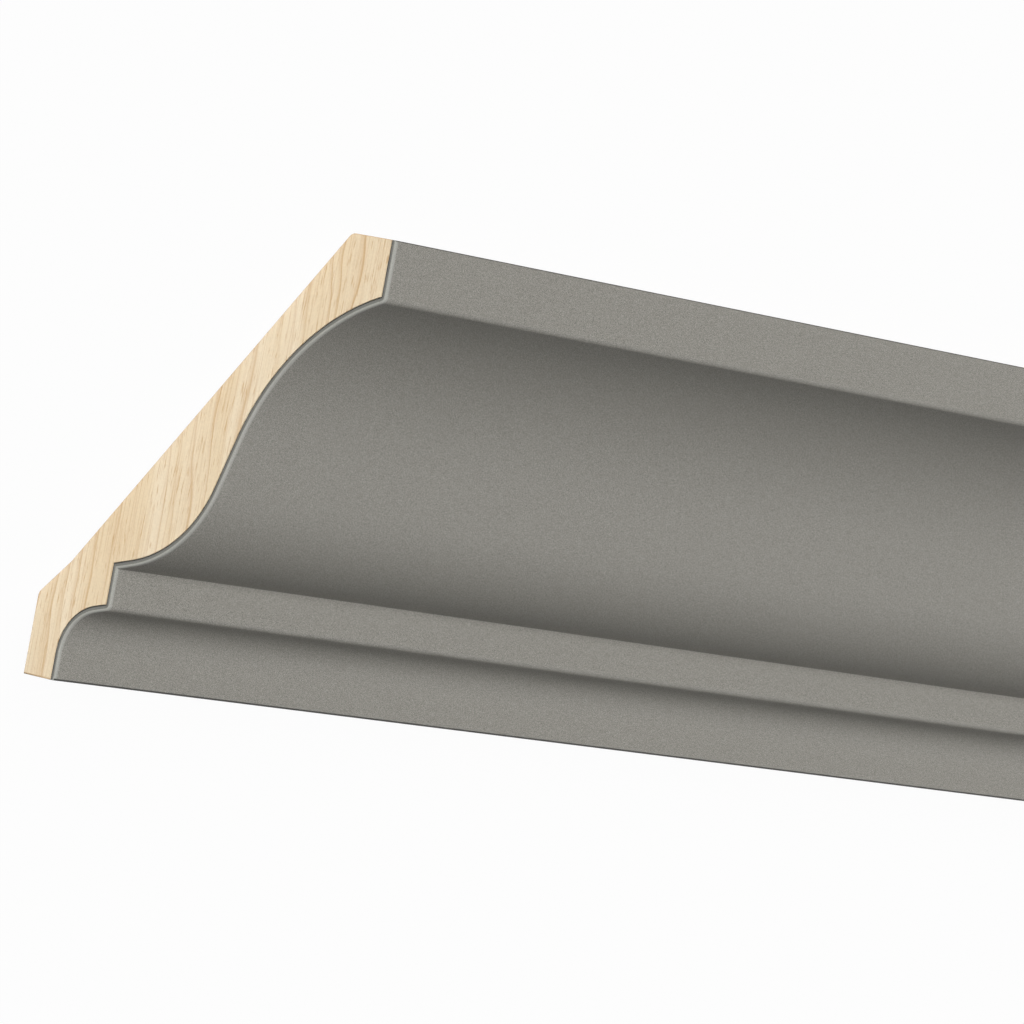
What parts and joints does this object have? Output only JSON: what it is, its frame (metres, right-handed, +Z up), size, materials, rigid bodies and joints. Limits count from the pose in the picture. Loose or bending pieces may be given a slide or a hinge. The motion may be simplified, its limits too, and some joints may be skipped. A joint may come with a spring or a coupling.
{
  "type": "cornice moulding",
  "caption": "Straight square-cut length of sprung cornice moulding in pale solid wood, its fillet, cove and ovolo face covered by a thick matte grey coat.",
  "frame": {"origin": "on the floor under the middle of the part's box", "axes": "+X along the length, away from the end that the picture shows; +Y across the back toward the ceiling edge; +Z up, out of the moulded face"},
  "size_m": [2.44, 0.1168, 0.0171],
  "materials": {
    "pale_wood": "bare, planed",
    "grey_coat": "matte, very fine tooth"
  },
  "bodies": {
    "root": {"wood_core": "pale_wood", "face_coat": "grey_coat"}
  },
  "joints": []
}
